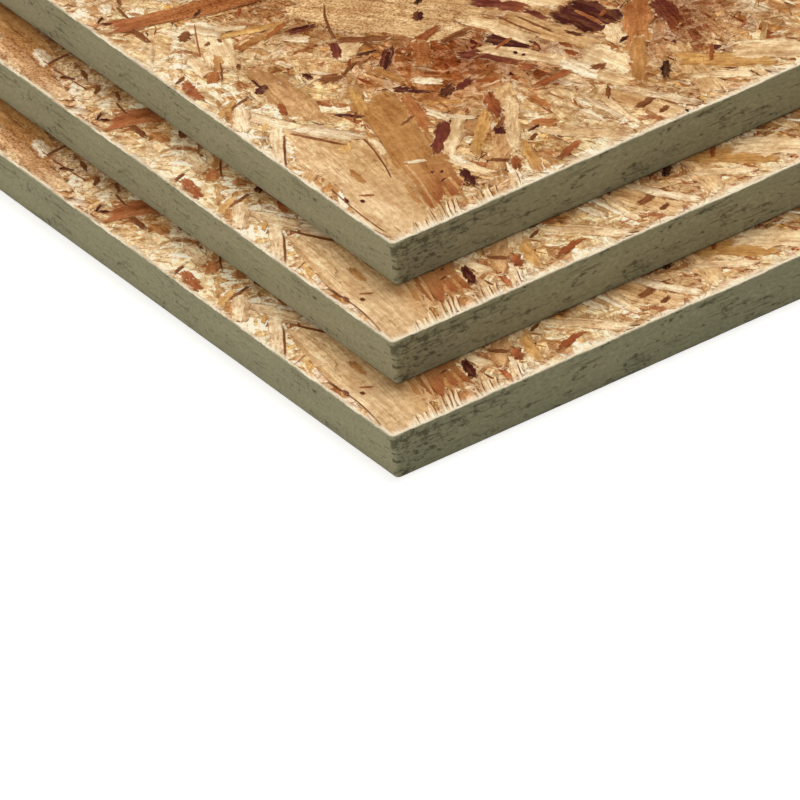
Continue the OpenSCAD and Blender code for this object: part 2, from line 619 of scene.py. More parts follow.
def trim(mesh, face):
    """Cuts the strands off along the sheet's edges and leaves the cut a little ragged."""
    near_x = face.end_x - RIM_INSET * MM
    far_x = face.end_x - (face.length - RIM_INSET) * MM
    near_y = face.side_y + RIM_INSET * MM
    far_y = face.side_y + (face.width - RIM_INSET) * MM
    bm = bmesh.new()
    bm.from_mesh(mesh)
    for point, normal in (
        ((near_x, 0, 0), (1, 0, 0)),
        ((far_x, 0, 0), (-1, 0, 0)),
        ((0, near_y, 0), (0, -1, 0)),
        ((0, far_y, 0), (0, 1, 0)),
    ):
        everything = bm.verts[:] + bm.edges[:] + bm.faces[:]
        bmesh.ops.bisect_plane(
            bm, geom=everything, dist=SAME_POINT, plane_co=point, plane_no=normal, clear_outer=True
        )
        for vert in bm.verts:
            if abs((vert.co - Vector(point)).dot(Vector(normal))) < ON_THE_CUT:
                wave = noise.noise(vert.co * RIM_WAVES) * 0.5 + 0.5
                vert.co -= Vector(normal) * wave * RIM_RAGGED * MM
    bm.to_mesh(mesh)
    bm.free()


# How far a strand's tone may be off the named one, as a whole and in each of red, green and blue
TONE_SPREAD = 0.10
HUE_SPREAD = 0.03
# The widest that a loose strand may be for its length
WIDEST = 0.6


def pick_tones(rng, mix, count):
    """A tone for each of count strands, by how often it turns up, each a little off the named one."""
    names = list(mix)
    share = np.array([mix[k] for k in names], float)
    chosen = rng.choice(len(names), count, p=share / share.sum())
    base = np.array([linear(k) for k in names])[chosen]
    return base * rng.normal(1, TONE_SPREAD, (count, 1)) * rng.normal(1, HUE_SPREAD, (count, 3))


def random_strands(rng, area, cover, lengths, widths, depths, grid, spread, crosswise, mix, clear=(),
                   **shape):
    """Loose strands that cover an area of a face so many times over, apart from clear patches.

    The area is t low, s low, t high, s high. The strands lean about the sheet's length, by a spread in
    degrees, apart from a share that lies any way."""
    t0, s0, t1, s1 = area
    one = (sum(lengths) / 2) * (sum(widths) / 2)
    count = int(cover * (t1 - t0) * (s1 - s0) / one)
    size = np.stack([rng.uniform(*lengths, count), rng.uniform(*widths, count)], -1)
    size[:, 1] = np.minimum(size[:, 1], size[:, 0] * WIDEST)
    any_way = rng.random(count) < crosswise
    lean = np.where(any_way, rng.uniform(-90, 90, count), rng.normal(0, spread, count))
    sunk = rng.uniform(*depths, count)
    place = np.stack([rng.uniform(t0, t1, count), rng.uniform(s0, s1, count)], -1)
    tone = pick_tones(rng, mix, count)
    kept = np.ones(count, bool)
    for clear_t, clear_s, reach in clear:
        kept &= np.hypot(place[:, 0] - clear_t, place[:, 1] - clear_s) > reach
    return StrandBatch(rng, grid, place[kept], size[kept], lean[kept], sunk[kept], tone[kept], **shape)


# Broad strands that cover a face
BROAD = dict(lengths=(60, 128), widths=(11, 26), depths=(0.36, 0.60), grid=(3, 4), spread=24,
             crosswise=0.12, mix=FIELD_MIX)
# Narrow strands that lie among the broad ones
NARROW = dict(lengths=(14, 60), widths=(2, 8), depths=(0.28, 0.46), grid=(1, 1), spread=30,
              crosswise=0.25, mix=FIELD_MIX, frayed=0)
# Narrow strands and splinters close to the near corner, in finer detail
LITTER = dict(lengths=(7, 38), widths=(1.6, 6.5), depths=(0.24, 0.31), grid=(4, 3), spread=34,
              crosswise=0.25, mix=LITTER_MIX, taper=0.6)
# Small chips and slivers pressed into the face
CHIPS = dict(lengths=(2, 9), widths=(0.5, 2.0), depths=(0.21, 0.23), grid=(2, 2), spread=40,
             crosswise=0.3, mix=CHIP_MIX, clear=CLEAN_PATCHES, taper=0.8, frayed=0.2)


def field(rng, area, broad, narrow):
    """The loose strands of an area: how many times over the broad and the narrow ones cover it."""
    return [random_strands(rng, area, broad, **BROAD), random_strands(rng, area, narrow, **NARROW)]


def listed(rng, rows, keep, grid, depths, **shape):
    """The strands of a list that keep picks, each above the ones before it in the list."""
    sunk = np.linspace(*depths, len(rows))
    picked = [k for k, row in enumerate(rows) if keep(row)]
    rows = [rows[k] for k in picked]
    place = np.array([row[:2] for row in rows], float).reshape(-1, 2) * READ_SCALE
    size = np.array([row[2:4] for row in rows], float).reshape(-1, 2)
    lean = np.array([row[4] for row in rows], float)
    tone = np.array([linear(row[5]) for row in rows]).reshape(-1, 3)
    foot = np.array([linear(row[-1]) for row in rows]).reshape(-1, 3)
    return StrandBatch(rng, grid, place, size, lean, sunk[picked], tone, foot, tilt=0.0, **shape)


# Stretches of the near end where fibre ends show: from, to and how far the fibres reach in
FIBRE_STRETCHES = [(11, 24, 11), (24, 33, 15), (42, 52, 11), (58, 62, 12)]
# How far apart the fibres lie, how they lean and by how much that varies
FIBRE_PITCH = 2.1
FIBRE_LEAN = 20
LEAN_SPREAD = 2.5
# Least and greatest length and width, as shares of the reach and the pitch
FIBRE_LENGTHS = (0.7, 1.25)
FIBRE_WIDTHS = (0.6, 0.95)
# The share of fibres with a slit beside them, its length for theirs, and its width. The dark slits are
# painted shade between the fibres
SLIT_SHARE = 0.7
SLIT_LENGTH = 0.8
SLIT_WIDTH = 0.5


def rim_fibres():
    """Rows for the pale fibre ends along stretches of the near end, and for the dark slits between them,
    which paint the shade there.
    """
    rng = np.random.default_rng(SEED)
    rows = []
    for start, stop, reach in FIBRE_STRETCHES:
        for t in np.arange(start, stop, FIBRE_PITCH):
            length = reach * rng.uniform(*FIBRE_LENGTHS)
            lean = rng.normal(FIBRE_LEAN, LEAN_SPREAD)
            along = length / 2 - 1
            across = t + along * math.tan(math.radians(lean)) + rng.normal(0, FIBRE_PITCH / 8)
            pale = rng.choice(["cream", "pale", "pale"])
            rows.append((across, along, length, FIBRE_PITCH * rng.uniform(*FIBRE_WIDTHS), lean, pale))
            # A dark brown slit paints the shade between two fibres
            if rng.random() < SLIT_SHARE:
                beside = across + FIBRE_PITCH / 2
                rows.append((beside, along + 1, SLIT_LENGTH * length, SLIT_WIDTH, lean, "brown"))
    return rows


# Materials

BUMP_STRENGTH = 0.6
BUMP_DEPTH = 0.0006


class Nodes:
    """Short names for the shader nodes of a material or a world."""

    def __init__(self, owner):
        owner.use_nodes = True
        self.owner = owner
        self.tree = owner.node_tree

    def add(self, kind, **settings):
        node = self.tree.nodes.new("ShaderNode" + kind)
        for key, value in settings.items():
            setattr(node, key, value)
        return node

    def link(self, source, target):
        self.tree.links.new(source, target)

    def feed(self, socket, value):
        if isinstance(value, bpy.types.NodeSocket):
            self.link(value, socket)
        else:
            socket.default_value = value

    def feed_all(self, node, **values):
        """Feeds inputs of a node, each named with _ for a space."""
        for name, value in values.items():
            self.feed(node.inputs[name.replace("_", " ")], value)

    def uv(self, layer):
        return self.add("UVMap", uv_map=layer).outputs["UV"]

    def colour(self, attribute):
        return self.add("Attribute", attribute_name=attribute).outputs["Color"]

    def value(self, attribute):
        return self.add("Attribute", attribute_name=attribute).outputs["Fac"]

    def parts(self, vector):
        node = self.add("SeparateXYZ")
        self.link(vector, node.inputs[0])
        return node.outputs

    def scaled(self, vector, scale):
        node = self.add("VectorMath", operation="MULTIPLY")
        self.link(vector, node.inputs[0])
        node.inputs[1].default_value = scale
        return node.outputs[0]

    def rotated(self, vector, degrees):
        node = self.add("VectorRotate", rotation_type="Z_AXIS")
        self.feed_all(node, Vector=vector, Angle=math.radians(degrees))
        return node.outputs[0]

    def noise(self, vector, scale, detail=3.0, rough=0.55, warp=0.0, output="Fac"):
        node = self.add("TexNoise")
        vector = self.scaled(vector, (*scale, 1.0))
        self.feed_all(node, Vector=vector, Scale=1.0, Detail=detail, Roughness=rough, Distortion=warp)
        return node.outputs[output]

    def strayed(self, vector, scale, amount):
        """The vector, moved about by a noise so that what is drawn on it gets uneven outlines."""
        stray = self.noise(vector, (scale, scale), 4.0, 0.6, output="Color")
        node = self.add("VectorMath", operation="MULTIPLY_ADD")
        self.link(stray, node.inputs[0])
        node.inputs[1].default_value = (amount, amount, 0.0)
        self.link(vector, node.inputs[2])
        return node.outputs[0]

    def cells(self, vector, length, width):
        """Three random numbers for each cell of a scattered pattern of long cells."""
        node = self.add("TexVoronoi", voronoi_dimensions="2D")
        self.feed_all(node, Vector=self.scaled(vector, (1 / length, 1 / width, 1)), Scale=1.0)
        split = self.add("SeparateColor")
        self.link(node.outputs["Color"], split.inputs[0])
        return split.outputs

    def ramp(self, value, stops):
        node = self.add("ValToRGB")
        self.link(value, node.inputs[0])
        for place, tone in stops[1:-1]:
            node.color_ramp.elements.new(place)
        for element, (place, tone) in zip(node.color_ramp.elements, stops):
            element.position = place
            element.color = rgba(TONES[tone])
        return node.outputs["Color"]

    def span(self, value, low, high, to_low, to_high, smooth=False):
        node = self.add("MapRange", interpolation_type="SMOOTHSTEP" if smooth else "LINEAR")
        self.feed_all(node, Value=value, From_Min=low, From_Max=high, To_Min=to_low, To_Max=to_high)
        return node.outputs["Result"]

    def math(self, operation, a, b=0.0):
        node = self.add("Math", operation=operation)
        self.feed(node.inputs[0], a)
        self.feed(node.inputs[1], b)
        return node.outputs[0]

    def plus(self, a, b):
        return self.math("ADD", a, b)

    def minus(self, a, b):
        return self.math("SUBTRACT", a, b)

    def times(self, a, b):
        return self.math("MULTIPLY", a, b)

    def most(self, a, b):
        return self.math("MAXIMUM", a, b)

    def mix(self, factor, a, b, blend="MIX"):
        """Two colours mixed. The factor, the colours and the result have these places on the node."""
        node = self.add("Mix", data_type="RGBA", blend_type=blend)
        for place, value in ((0, factor), (6, a), (7, b)):
            self.feed(node.inputs[place], value)
        return node.outputs[2]

    def tinted(self, factor, colour, value, low, high, dark, light):
        """The colour multiplied by a tint that goes from dark to light as a value goes from low to high."""
        tint = self.mix(self.span(value, low, high, 0.0, 1.0), (*dark, 1), (*light, 1))
        return self.mix(factor, colour, tint, "MULTIPLY")

    def end(self, shader, **values):
        """Feeds the shader that the material or the world came with."""
        self.feed_all(self.tree.nodes[shader], **values)
        return self.owner

    def surface(self, colour, roughness, shine, height):
        """Ends a material: its colour, roughness and shine, and a bump from a height."""
        node = self.add("Bump")
        self.feed_all(node, Strength=BUMP_STRENGTH, Distance=BUMP_DEPTH, Height=height)
        return self.end("Principled BSDF", Base_Color=colour, Roughness=roughness, Specular_IOR_Level=shine,
                        Normal=node.outputs["Normal"])


STRAND_SHINE = 0.02
SEAL_SHINE = 0.12
# Tones of the finest splinters, by a random number, and each layer of them: lean, length, width, and the
# share that shows
SPLINTER_STOPS = [
    (0.0, "white"), (0.25, "cream"), (0.48, "pale"), (0.66, "tan"), (0.80, "amber"), (0.92, "orange"),
    (1.0, "rust"),
]
SPLINTER_LAYERS = [(-24, 24, 4.2, 0.34), (31, 15, 2.8, 0.30), (78, 9, 2.2, 0.16)]
# Each layer of torn flakes: length, width and strength
FLAKE_LAYERS = [(14, 2.4, 0.5), (6, 1.2, 0.6)]
# What shows under the worn borders of the strands, by the height of the lumps
UNDER_STOPS = [(0.36, "orange"), (0.44, "amber"), (0.52, "tan"), (0.62, "cream")]
# What dark specks, hairlines (painted shade in cracks) and the painted shade along strand outlines multiply
# a colour by, and what the pale rim does
SPECK = (0.46, 0.31, 0.22, 1)
HAIRLINE_SHADE = (0.40, 0.26, 0.18, 1)
OUTLINE_SHADE = (0.22, 0.12, 0.08, 1)
DRY = (1.16, 1.26, 1.46, 1)
# Display values of bare wood at the rims, and of the palest that wood gets
BARE_WOOD = (252, 238, 208)
PALEST = (253, 242, 216)


def splinters(n, loose, colour, fuzz, lean, length, width, share):
    """Fine splinters over the strands: long cells at one lean, a share of which shows, each in its tone."""
    turned = n.rotated(loose, lean)
    pick, tone, _ = n.cells(turned, length, width)
    tint = n.ramp(tone, SPLINTER_STOPS)
    fibre = n.noise(turned, (0.08, 1.2), 3.0, 0.6)
    tint = n.tinted(1.0, tint, fibre, 0.3, 0.7, (0.78, 0.70, 0.62), (1.08, 1.08, 1.08))
    left_over = n.minus(n.span(fuzz, 0.25, 0.9, 0.0, share), pick)
    return n.mix(n.span(left_over, 0.0, 0.02, 0.0, 0.92), colour, tint)


def flakes(n, torn, colour, fuzz, length, width, strength):
    """Torn flakes along the grain of each strand, some darker or lighter than it and some redder."""
    pick, shade, red = n.cells(torn, length, width)
    tint = n.mix(shade, (0.60, 0.48, 0.38, 1), (1.26, 1.33, 1.40, 1))
    shown = n.times(n.span(pick, 0.50, 0.52, 0.0, strength), n.span(fuzz, 0.0, 0.25, 0.25, 0.85))
    colour = n.mix(shown, colour, tint, "MULTIPLY")
    return n.mix(n.span(red, 0.80, 0.82, 0.0, 0.25 * strength), colour, rgba(TONES["orange"]))


def frayed_edges(n, grain, colour, lumps):
    """The colour, with each strand's borders worn unevenly to the mixed tones of what lies under it."""
    wear = n.noise(grain, (0.35, 1.3), 4.0, 0.7)
    edge_blend = n.plus(n.value("fray"), n.span(wear, 0.25, 0.75, -0.6, 0.6))
    return n.mix(n.span(edge_blend, 0.45, 0.75, 0.0, 0.8, True), colour, n.ramp(lumps, UNDER_STOPS))


def specked(n, colour, sheet, busy):
    """The colour with fine dark specks, which are thicker in some places."""
    specks = n.noise(sheet, (0.95, 0.95), 3.0, 0.6, 0.4)
    speckle = n.value("speckle")
    dense = n.plus(specks, n.times(speckle, 0.08))
    dark = n.times(n.span(dense, 0.57, 0.67, 0.0, 0.8, True), n.most(busy, speckle))
    return n.mix(dark, colour, SPECK, "MULTIPLY")


def hairlines(n, colour, wander, mottle):
    """The colour with thin dark cracks along the grain, their dark painted shade in the cracks."""
    seam = n.noise(wander, (0.018, 0.26), 3.0, 0.55, 0.4)
    off_seam = n.math("ABSOLUTE", n.minus(seam, 0.5))
    crack = n.times(n.span(off_seam, 0.004, 0.016, 0.8, 0.0), n.span(mottle, 0.48, 0.60, 0.0, 1.0))
    # Painted shade: the cracks are darkened for the shade that lies in them
    return n.mix(crack, colour, HAIRLINE_SHADE, "MULTIPLY")


def pale_rim(n, grain, colour, length, width):
    """The colour, dry and pale along the sheet's rims and bare wood right at them, both uneven."""
    sheet = n.uv("sheet")
    s, t, _ = n.parts(sheet)
    from_end = n.math("MINIMUM", s, n.minus(length, s))
    from_side = n.math("MINIMUM", t, n.minus(width, t))
    streak = n.noise(grain, (0.03, 0.8), 3.0, 0.6)
    blotch = n.noise(sheet, (0.12, 0.12), 4.0, 0.65)
    uneven = n.plus(n.span(streak, 0.3, 0.7, -0.5, 0.5), n.span(blotch, 0.3, 0.7, -0.5, 0.5))

    def fade(distance, wander, near, far, full):
        return n.span(n.plus(distance, n.times(uneven, wander)), near, far, full, 0.0, True)

    bare = n.most(fade(from_end, 3.4, 0.6, 5.5, 0.8), fade(from_side, 2.4, 0.4, 2.6, 0.8))
    dry = n.most(fade(from_end, 8.0, 1.0, 15.0, 1.0), fade(from_side, 9.0, 1.0, 30.0, 1.0))
    colour = n.mix(dry, colour, DRY, "MULTIPLY")
    return n.mix(bare, colour, rgba(BARE_WOOD))


def strand_material(length, width):
    """Pressed wood strands: a tone and fibres for each, splinters, flakes, frayed borders, stains, specks,
    hairlines with painted shade in their cracks, a pale dry rim and painted shade along the outlines."""
    n = Nodes(bpy.data.materials.new("strand_board"))
    grain = n.uv("grain")
    sheet = n.uv("sheet")
    fuzz = n.value("fuzz")
    loose = n.strayed(sheet, 0.13, 8.0)
    wander = n.strayed(grain, 0.06, 3.0)
    torn = n.strayed(grain, 0.30, 2.4)
    fibre = n.noise(wander, (0.07, 0.9), 4.0, 0.62, 0.3)
    bands = n.noise(wander, (0.012, 0.17), 3.0, 0.55, 0.6)
    mottle = n.noise(wander, (0.10, 0.32), 5.0, 0.66, 0.8)
    lumps = n.noise(sheet, (0.30, 0.30), 4.0, 0.66, 0.7)
    clouds = n.noise(sheet, (0.05, 0.05), 2.0, 0.5, 0.3)
    banded = n.span(fuzz, 0.0, 0.25, 0.6, 1.0)
    mottled = n.span(fuzz, 0.0, 0.8, 0.3, 1.0)
    busy = n.span(fuzz, 0.0, 1.0, 0.45, 1.0)
    colour = n.tinted(1.0, n.colour("tone"), fibre, 0.32, 0.68, (0.86, 0.79, 0.71), (1.12, 1.14, 1.16))
    colour = n.tinted(banded, colour, bands, 0.66, 0.36, (0.84, 0.74, 0.63), (1.14, 1.17, 1.20))
    colour = n.tinted(mottled, colour, mottle, 0.34, 0.66, (0.78, 0.67, 0.56), (1.20, 1.25, 1.30))
    for layer in SPLINTER_LAYERS:
        colour = splinters(n, loose, colour, fuzz, *layer)
    for layer in FLAKE_LAYERS:
        colour = flakes(n, torn, colour, fuzz, *layer)
    colour = frayed_edges(n, grain, colour, lumps)
    colour = n.mix(1.0, colour, n.colour("stain"), "MULTIPLY")
    colour = n.tinted(busy, colour, lumps, 0.36, 0.64, (0.72, 0.58, 0.46), (1.24, 1.30, 1.38))
    colour = n.tinted(busy, colour, clouds, 0.35, 0.65, (0.82, 0.72, 0.62), (1.16, 1.21, 1.26))
    colour = specked(n, colour, sheet, busy)
    colour = hairlines(n, colour, wander, mottle)
    colour = pale_rim(n, grain, colour, length, width)
    # Painted shade along the strand outlines and down their skirts
    colour = n.mix(n.value("dirt"), colour, OUTLINE_SHADE, "MULTIPLY")
    colour = n.mix(1.0, colour, rgba(PALEST), "DARKEN")
    height = n.plus(fibre, n.plus(n.times(mottle, 0.7), n.times(lumps, 0.9)))
    return n.surface(colour, n.span(bands, 0.3, 0.7, 0.62, 0.82), STRAND_SHINE, height)


# Display values of the sealing paint, darker and lighter, of its hollows, darkened as painted shade, of its
# darker foot and of bare wood
PAINT = ((151, 146, 116), (165, 158, 126))
HOLLOW = (78, 75, 55)
DARK_FOOT = (104, 98, 74)
BARE_ARRIS = (250, 236, 206)


def hollows(n, edge, from_corner, end_face):
    """Pits and slits in the sealed edge, in clusters, and more of them at the near corner. Their dark tone
    is painted shade.
    """
    cluster = n.noise(edge, (0.035, 0.11), 2.0, 0.5)
    loose = n.strayed(edge, 0.8, 1.4)
    pits = n.noise(loose, (0.22, 0.46), 7.0, 0.74)
    slits = n.noise(loose, (0.05, 0.75), 6.0, 0.72)
    shift = n.plus(n.span(end_face, 0.0, 1.0, -0.005, 0.02), n.span(cluster, 0.35, 0.65, -0.05, 0.05))
    pits = n.plus(pits, n.span(from_corner, 4.0, 46.0, 0.05, 0.0, True))
    pit = n.span(n.plus(pits, shift), 0.58, 0.66, 0.0, 0.75, True)
    slit = n.span(n.plus(slits, shift), 0.60, 0.68, 0.0, 0.6, True)
    return n.most(pit, slit)


def bare_top_dark_foot(n, colour, edge, up, thickness):
    """The colour, darker along the lower arris, and bare wood in patches along the upper one."""
    rag = n.noise(edge, (0.22, 0.05), 5.0, 0.7)
    patch = n.noise(edge, (0.06, 0.02), 3.0, 0.6)
    bare_from = n.plus(up, n.span(rag, 0.3, 0.7, -0.35, 0.2))
    bare = n.span(bare_from, thickness - 0.5, thickness - 0.15, 0.0, 0.95, True)
    bare = n.times(bare, n.span(patch, 0.42, 0.58, 0.3, 1.0, True))
    edge_blend = n.span(n.minus(up, n.span(rag, 0.3, 0.7, -0.5, 0.5)), 0.0, 0.8, 0.5, 0.0, True)
    return n.mix(bare, n.mix(edge_blend, colour, rgba(DARK_FOOT)), rgba(BARE_ARRIS))


def seal_material(girth, thickness):
    """Matte sealing paint on the sawn edges, with pits along the strands and bare wood at the arrises."""
    n = Nodes(bpy.data.materials.new("edge_seal"))
    edge = n.uv("edge")
    round_sheet, up, _ = n.parts(edge)
    end_face = n.value("end_face")
    cloud = n.noise(edge, (0.02, 0.12), 4.0, 0.6)
    grit = n.noise(edge, (0.45, 0.75), 5.0, 0.72)
    hollow = hollows(n, edge, n.minus(girth, round_sheet), end_face)
    colour = n.mix(n.span(cloud, 0.3, 0.7, 0.0, 1.0), *map(rgba, PAINT))
    # Painted light: the end faces are drawn a little lighter and cooler than the long sides, in place of a
    # lamp on them
    colour = n.mix(end_face, colour, (1.06, 1.09, 1.10, 1), "MULTIPLY")
    colour = n.tinted(1.0, colour, grit, 0.34, 0.68, (1.13, 1.13, 1.13), (0.76, 0.77, 0.76))
    # Painted shade: the pits and slits take a dark copy of the paint for the shade in them
    colour = n.mix(hollow, colour, rgba(HOLLOW))
    colour = bare_top_dark_foot(n, colour, edge, up, thickness)
    height = n.minus(n.times(grit, 0.35), hollow)
    return n.surface(colour, n.span(cloud, 0.3, 0.7, 0.72, 0.86), SEAL_SHINE, height)


# Boards

# Radius of the upright corners and of the arrises
CORNER_R = 2.0
ARRIS_R = 0.5
# How deep and how far in from the edge the beds of the strands lie
BED = 0.62
BED_IN = 2.5
# Steps round a sheet: fine ones this far from the near corner and coarse ones past that
FINE_REACH = 420
FINE_STEP = 1.5
COARSE_STEP = 14.0
# Turns in degrees round an upright corner and round an arris, and heights between the arrises
CORNER_TURNS = (22.5, 45, 67.5)
ARRIS_TURNS = (90, 60, 30, 0)
EDGE_LEVELS = 13
# How worn the edge is at the arrises and between them
ARRIS_WEAR = 1.0
EDGE_WEAR = 0.35
# How deep its waves and ripples go, how fast along and up the edge, and how far in they lie on the whole
WAVE = 0.10
RIPPLE = 0.12
WAVE_RATE = (0.20, 0.55)
RIPPLE_RATE = (0.035, 0.2)
SET_IN = 0.4
# Layers of noise that they are taken from
WAVE_LAYER = 7
RIPPLE_LAYER = 3.3
# The bake map: runs that the wall is cut into, the gap between them, and the length of each bed
BAKE_RUNS = 15
BAKE_GAP = 0.003
BAKE_CAP = 0.36


def side_steps(total, fine_at_start, fine_at_end):
    """Distances along one side of a sheet, with fine steps at the ends that ask for them."""
    fine = np.arange(0, FINE_REACH, FINE_STEP)
    coarse = np.linspace(FINE_REACH, total - FINE_REACH, int((total - 2 * FINE_REACH) / COARSE_STEP))
    rough = np.linspace(0, FINE_REACH, int(FINE_REACH / COARSE_STEP), endpoint=False)
    first = fine if fine_at_start else rough
    last = total - (fine if fine_at_end else rough)[::-1]
    return np.concatenate([first, coarse, last[1:] if coarse[-1] >= last[0] else last])


def outline(length, width):
    """Points round a sheet from its near corner, with their outward normals, finer close to that corner."""
    long, short = length - 2 * CORNER_R, width - 2 * CORNER_R
    sides = (
        ((CORNER_R, 0), (1, 0), (0, -1), side_steps(long, True, False)),
        ((length, CORNER_R), (0, 1), (1, 0), side_steps(short, False, False)),
        ((length - CORNER_R, width), (-1, 0), (0, 1), side_steps(long, False, False)),
        ((0, width - CORNER_R), (0, -1), (-1, 0), side_steps(short, False, True)),
    )
    points, normals = [], []
    for start, step, out, along in sides:
        start, step, out = np.array(start, float), np.array(step, float), np.array(out, float)
        points.append(start + along[:, None] * step)
        normals.append(np.repeat(out[None], len(along), 0))
        centre = points[-1][-1] - out * CORNER_R
        for turn in np.radians(CORNER_TURNS):
            normal = math.cos(turn) * out + math.sin(turn) * step
            points.append((centre + CORNER_R * normal)[None])
            normals.append(normal[None])
    return np.concatenate(points), np.concatenate(normals)


def girth(length, width):
    """Distance round a sheet."""
    return 2 * (length + width) - (8 - 2 * math.pi) * CORNER_R


def edge_levels(thickness):
    """Heights up a sheet and how far in each lies: a bed, the edge with its arrises rounded, and a bed."""
    turn = np.radians(ARRIS_TURNS)
    arris = [(ARRIS_R * (1 - math.sin(a)), ARRIS_R * (1 - math.cos(a))) for a in turn]
    low = [(BED, BED_IN)] + arris
    high = [(thickness - h, inset) for h, inset in reversed(low)]
    between = np.linspace(ARRIS_R, thickness - ARRIS_R, EDGE_LEVELS)[1:-1]
    return low + [(h, 0.0) for h in between] + high


def wall_map(along, across):
    """For each corner of the wall faces, its distance round the sheet and its place across the section."""
    shape = (len(across) - 1, len(along) - 1, 4)
    start, end = along[:-1], along[1:]
    low, high = across[:-1], across[1:]
    round_the_sheet = np.broadcast_to(np.stack([start, start, end, end], -1)[None], shape)
    up_the_section = np.broadcast_to(np.stack([low, high, high, low], -1)[:, None], shape)
    return np.stack([round_the_sheet, up_the_section], -1).reshape(-1, 2)


def bake_map(walls, caps, length):
    """Places in one square for baking: the wall in runs that lie above each other, and both beds on top."""
    starts = walls[:, 0].reshape(-1, 4).min(1).repeat(4)
    run = walls[:, 0].max() / BAKE_RUNS
    number = np.minimum(starts // run, BAKE_RUNS - 1)
    scale = (1 - 2 * BAKE_GAP) / (run + COARSE_STEP)
    strip = walls[:, 1].max() * scale + BAKE_GAP
    wall_places = np.stack([walls[:, 0] - number * run, walls[:, 1]], -1) * scale
    wall_places += np.stack([np.full(len(walls), BAKE_GAP), BAKE_GAP + number * strip], -1)
    cap_places = caps * BAKE_CAP / length + np.array([BAKE_GAP, 2 * BAKE_GAP + BAKE_RUNS * strip])
    second = len(caps) // 2
    cap_places[second:, 0] += BAKE_CAP + BAKE_GAP
    return np.concatenate([wall_places, cap_places])


def unevenness(along, height, rate, layer):
    """A noise along the edge at one height, mostly above 0."""
    values = [noise.noise(Vector((a * rate[0], height * rate[1], layer))) for a in along]
    return np.array(values) + SET_IN


def set_back(along, height, inset, wear):
    """How far in from the outline the edge lies at one height, with waves and ripples along it."""
    wave = unevenness(along, height, WAVE_RATE, wear * WAVE_LAYER)
    ripple = unevenness(along, height, RIPPLE_RATE, RIPPLE_LAYER)
    return np.maximum(inset + wear * WAVE * wave + RIPPLE * ripple, 0.0)


def board_points(ring, normal, along, levels):
    """Rings of points from the lower bed of a sheet, up its edge, to the upper bed."""
    last = len(levels) - 1
    rings = []
    for row, (height, inset) in enumerate(levels):
        back = np.full(len(ring), inset)
        if 0 < row < last:
            wear = ARRIS_WEAR if row in (1, 2, last - 2, last - 1) else EDGE_WEAR
            back = set_back(along, height, inset, wear)
        rings.append(np.column_stack([ring - normal * back[:, None], np.full(len(ring), height)]))
    return np.concatenate(rings)


def board_faces(count, rows):
    """The wall between the rings of points, and the two beds that close it."""
    here = np.arange(count)
    after = (here + 1) % count
    faces = []
    for a in range(0, (rows - 1) * count, count):
        b = a + count
        faces += np.stack([a + here, b + here, b + after, a + after], -1).tolist()
    lower = list(range(count))
    upper = list(range((rows - 1) * count, rows * count))
    return faces + [lower, upper[::-1]]


def board(name, node, wood, seal):
    """The body of one sheet: its sealed edges, a little uneven, and the beds that the strands lie in."""
    low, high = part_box(node)
    length, width, thickness = ((high - low) / MM)[:]
    ring, normal = outline(length, width)
    levels = edge_levels(thickness)
    step = np.linalg.norm(np.diff(ring, axis=0, append=ring[:1]), axis=1)
    along = np.concatenate([[0], np.cumsum(step)])
    points = board_points(ring, normal, along[:-1], levels)
    count, rows = len(ring), len(levels)
    walls = (rows - 1) * count
    faces = board_faces(count, rows)
    mesh = bpy.data.meshes.new(name)
    corner = np.array((high.x, low.y, low.z))
    mesh.from_pydata(corner + points * np.array((-MM, MM, MM)), [], faces)
    mesh.materials.append(seal)
    mesh.materials.append(wood)
    wood_rows = {0, rows - 2}
    index = [int(k >= walls or k // count in wood_rows) for k in range(len(faces))]
    mesh.polygons.foreach_set("material_index", index)
    sheet = points[loop_vertices(mesh), :2]
    caps = sheet[4 * walls:]
    heights, insets = np.array(levels).T
    section = np.concatenate([[0], np.cumsum(np.hypot(np.diff(insets), np.diff(heights)))])
    edge = np.concatenate([wall_map(along, heights), caps])
    bake = bake_map(wall_map(along, section), caps, length)
    attach(
        mesh,
        {"edge": edge, "sheet": sheet, "grain": sheet, "OFBake": bake},
        {"tone": np.tile(linear("tan"), (len(points), 1)), "stain": np.ones((len(points), 3))},
        {"end_face": np.tile(np.abs(normal[:, 0]), rows), "fuzz": np.ones(len(points))},
    )
    return placed(name, mesh)


# Stack

# Lanes that the strands of the top and of the underside are made in, and how far in the ledges reach
LANES = 8
UNDER_LANES = 3
LEDGE_REACH = 62
# How many times over broad and narrow strands cover the faces
TOP_COVER = (1.7, 0.8)
LEDGE_COVER = (1.9, 0.9)
UNDER_COVER = (1.6, 0.5)
OVERHANG_COVER = (1.8, 0.8)
# How many times over litter and chips cover them close to the near corner
LITTER_COVER = 0.85
CHIP_COVER = 0.14
# How the listed strands look: grid, depths of the first and the last of the list, and form
GROUND_LOOK = dict(grid=(9, 7), depths=(0.38, 0.34), fuzz=0.7, ragged=0.6)
STRAND_LOOK = dict(grid=(9, 7), depths=(0.20, 0.08), fuzz=0.25, ragged=0.25, taper=0.25, wavy=1.6,
                   stains=False)
FIBRE_LOOK = dict(grid=(4, 3), depths=(0.07, 0.06), fuzz=0.1, taper=0.8, frayed=0.3, outlined=0.1,
                  stains=False)
MARK_LOOK = dict(grid=(7, 6), depths=(0.05, 0.0), fuzz=0.2, ragged=0.5, taper=0.4, wavy=1.8, frayed=0.6,
                 outlined=0.0, stains=False)
RIM_FIBRES = rim_fibres()


def near_ledges(face):
    """Areas of a face along its near end and its near side."""
    return [(0, 0, face.width, LEDGE_REACH), (0, LEDGE_REACH, LEDGE_REACH, face.length)]


